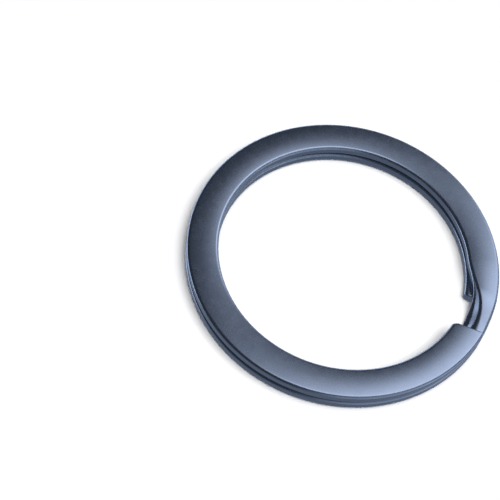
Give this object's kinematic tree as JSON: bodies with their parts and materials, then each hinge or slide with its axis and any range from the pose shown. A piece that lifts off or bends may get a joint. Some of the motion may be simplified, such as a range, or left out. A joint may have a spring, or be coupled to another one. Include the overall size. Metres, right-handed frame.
{
  "type": "split key ring",
  "caption": "Split key ring of flattened spring wire coiled into two flat turns, whose free ends spring open on either side of a narrower crossover.",
  "frame": {"origin": "centre of the ring on its underside, where it lies flat", "axes": "+Z along the ring's axis, up through the eye; +X from the centre to the middle of the crossover"},
  "size_m": [0.032, 0.032, 0.0024],
  "materials": {
    "gunmetal_steel": "satin gunmetal plating on spring steel"
  },
  "bodies": {
    "lower_free_end": {"lower_free_end": "gunmetal_steel"},
    "lower_flex_arc_8": {"lower_flex_arc_8": "gunmetal_steel"},
    "lower_flex_arc_7": {"lower_flex_arc_7": "gunmetal_steel"},
    "lower_flex_arc_6": {"lower_flex_arc_6": "gunmetal_steel"},
    "lower_flex_arc_5": {"lower_flex_arc_5": "gunmetal_steel"},
    "lower_flex_arc_4": {"lower_flex_arc_4": "gunmetal_steel"},
    "lower_flex_arc_3": {"lower_flex_arc_3": "gunmetal_steel"},
    "lower_flex_arc_2": {"lower_flex_arc_2": "gunmetal_steel"},
    "lower_flex_arc_1": {"lower_flex_arc_1": "gunmetal_steel"},
    "crossover": {"crossover": "gunmetal_steel", "upper_attached_arc": "gunmetal_steel", "lower_attached_arc": "gunmetal_steel"},
    "upper_flex_arc_1": {"upper_flex_arc_1": "gunmetal_steel"},
    "upper_flex_arc_2": {"upper_flex_arc_2": "gunmetal_steel"},
    "upper_flex_arc_3": {"upper_flex_arc_3": "gunmetal_steel"},
    "upper_flex_arc_4": {"upper_flex_arc_4": "gunmetal_steel"},
    "upper_flex_arc_5": {"upper_flex_arc_5": "gunmetal_steel"},
    "upper_flex_arc_6": {"upper_flex_arc_6": "gunmetal_steel"},
    "upper_flex_arc_7": {"upper_flex_arc_7": "gunmetal_steel"},
    "upper_flex_arc_8": {"upper_flex_arc_8": "gunmetal_steel"},
    "upper_free_end": {"upper_free_end": "gunmetal_steel"}
  },
  "joints": [
    {"name": "lower_flex_9", "type": "hinge", "parent": "lower_free_end", "child": "lower_flex_arc_8", "pos_m": [0.01261, 0.00985, 0], "axis": [-0.9153, -0.4027, 0], "range_deg": [0, 0.2489], "stiffness_Nm_per_rad": 0.1},
    {"name": "lower_flex_8", "type": "hinge", "parent": "lower_flex_arc_8", "child": "lower_flex_arc_7", "pos_m": [0.00638, 0.01467, 0], "axis": [-0.788, -0.6157, 0], "range_deg": [0, 0.4806], "stiffness_Nm_per_rad": 0.1},
    {"name": "lower_flex_7", "type": "hinge", "parent": "lower_flex_arc_7", "child": "lower_flex_arc_6", "pos_m": [-0.00139, 0.01594, 0], "axis": [-0.6122, -0.7907, 0], "range_deg": [0, 0.6829], "stiffness_Nm_per_rad": 0.1},
    {"name": "lower_flex_6", "type": "hinge", "parent": "lower_flex_arc_6", "child": "lower_flex_arc_5", "pos_m": [-0.00883, 0.01334, 0], "axis": [-0.3987, -0.9171, 0], "range_deg": [0, 0.8433], "stiffness_Nm_per_rad": 0.1},
    {"name": "lower_flex_5", "type": "hinge", "parent": "lower_flex_arc_5", "child": "lower_flex_arc_4", "pos_m": [-0.01413, 0.00751, 0], "axis": [-0.1607, -0.987, 0], "range_deg": [0, 0.9519], "stiffness_Nm_per_rad": 0.1},
    {"name": "lower_turn_opens", "type": "hinge", "parent": "lower_flex_arc_4", "child": "lower_flex_arc_3", "pos_m": [-0.016, -0.00014, 0], "axis": [0.0872, -0.9962, 0], "range_deg": [0, 1], "stiffness_Nm_per_rad": 0.1},
    {"name": "lower_flex_3", "type": "hinge", "parent": "lower_flex_arc_3", "child": "lower_flex_arc_2", "pos_m": [-0.01399, -0.00776, 0], "axis": [0.4848, -0.8746, 0], "range_deg": [0, 0.9763], "stiffness_Nm_per_rad": 0.1},
    {"name": "lower_flex_2", "type": "hinge", "parent": "lower_flex_arc_2", "child": "lower_flex_arc_1", "pos_m": [-0.0086, -0.01349, 0], "axis": [0.8434, -0.5373, 0], "range_deg": [0, 0.8391], "stiffness_Nm_per_rad": 0.1},
    {"name": "lower_flex_1", "type": "hinge", "parent": "lower_flex_arc_1", "child": "crossover", "pos_m": [-0.00112, -0.01596, 0], "axis": [0.9976, -0.0698, 0], "range_deg": [0, 0.6206], "stiffness_Nm_per_rad": 0.1},
    {"name": "upper_flex_1", "type": "hinge", "parent": "crossover", "child": "upper_flex_arc_1", "pos_m": [-0.00112, 0.01596, 0.0024], "axis": [-0.9976, -0.0698, 0], "range_deg": [0, 0.6206], "stiffness_Nm_per_rad": 0.1},
    {"name": "upper_flex_2", "type": "hinge", "parent": "upper_flex_arc_1", "child": "upper_flex_arc_2", "pos_m": [-0.0086, 0.01349, 0.0024], "axis": [-0.8434, -0.5373, 0], "range_deg": [0, 0.8391], "stiffness_Nm_per_rad": 0.1},
    {"name": "upper_flex_3", "type": "hinge", "parent": "upper_flex_arc_2", "child": "upper_flex_arc_3", "pos_m": [-0.01399, 0.00776, 0.0024], "axis": [-0.4848, -0.8746, 0], "range_deg": [0, 0.9763], "stiffness_Nm_per_rad": 0.1},
    {"name": "upper_turn_opens", "type": "hinge", "parent": "upper_flex_arc_3", "child": "upper_flex_arc_4", "pos_m": [-0.016, 0.00014, 0.0024], "axis": [-0.0872, -0.9962, 0], "range_deg": [0, 1], "stiffness_Nm_per_rad": 0.1},
    {"name": "upper_flex_5", "type": "hinge", "parent": "upper_flex_arc_4", "child": "upper_flex_arc_5", "pos_m": [-0.01413, -0.00751, 0.0024], "axis": [0.1607, -0.987, 0], "range_deg": [0, 0.9519], "stiffness_Nm_per_rad": 0.1},
    {"name": "upper_flex_6", "type": "hinge", "parent": "upper_flex_arc_5", "child": "upper_flex_arc_6", "pos_m": [-0.00883, -0.01334, 0.0024], "axis": [0.3987, -0.9171, 0], "range_deg": [0, 0.8433], "stiffness_Nm_per_rad": 0.1},
    {"name": "upper_flex_7", "type": "hinge", "parent": "upper_flex_arc_6", "child": "upper_flex_arc_7", "pos_m": [-0.00139, -0.01594, 0.0024], "axis": [0.6122, -0.7907, 0], "range_deg": [0, 0.6829], "stiffness_Nm_per_rad": 0.1},
    {"name": "upper_flex_8", "type": "hinge", "parent": "upper_flex_arc_7", "child": "upper_flex_arc_8", "pos_m": [0.00638, -0.01467, 0.0024], "axis": [0.788, -0.6157, 0], "range_deg": [0, 0.4806], "stiffness_Nm_per_rad": 0.1},
    {"name": "upper_flex_9", "type": "hinge", "parent": "upper_flex_arc_8", "child": "upper_free_end", "pos_m": [0.01261, -0.00985, 0.0024], "axis": [0.9153, -0.4027, 0], "range_deg": [0, 0.2489], "stiffness_Nm_per_rad": 0.1}
  ],
  "couplings": [
    {"joint": "lower_flex_9", "follows": "lower_turn_opens", "ratio": 0.24691},
    {"joint": "lower_flex_8", "follows": "lower_turn_opens", "ratio": 0.47863},
    {"joint": "lower_flex_7", "follows": "lower_turn_opens", "ratio": 0.6809},
    {"joint": "lower_flex_6", "follows": "lower_turn_opens", "ratio": 0.84126},
    {"joint": "lower_flex_5", "follows": "lower_turn_opens", "ratio": 0.94986},
    {"joint": "lower_flex_3", "follows": "lower_turn_opens", "ratio": 0.97432},
    {"joint": "lower_flex_2", "follows": "lower_turn_opens", "ratio": 0.83715},
    {"joint": "lower_flex_1", "follows": "lower_turn_opens", "ratio": 0.61863},
    {"joint": "upper_flex_9", "follows": "upper_turn_opens", "ratio": 0.24691},
    {"joint": "upper_flex_8", "follows": "upper_turn_opens", "ratio": 0.47863},
    {"joint": "upper_flex_7", "follows": "upper_turn_opens", "ratio": 0.6809},
    {"joint": "upper_flex_6", "follows": "upper_turn_opens", "ratio": 0.84126},
    {"joint": "upper_flex_5", "follows": "upper_turn_opens", "ratio": 0.94986},
    {"joint": "upper_flex_3", "follows": "upper_turn_opens", "ratio": 0.97432},
    {"joint": "upper_flex_2", "follows": "upper_turn_opens", "ratio": 0.83715},
    {"joint": "upper_flex_1", "follows": "upper_turn_opens", "ratio": 0.61863}
  ]
}
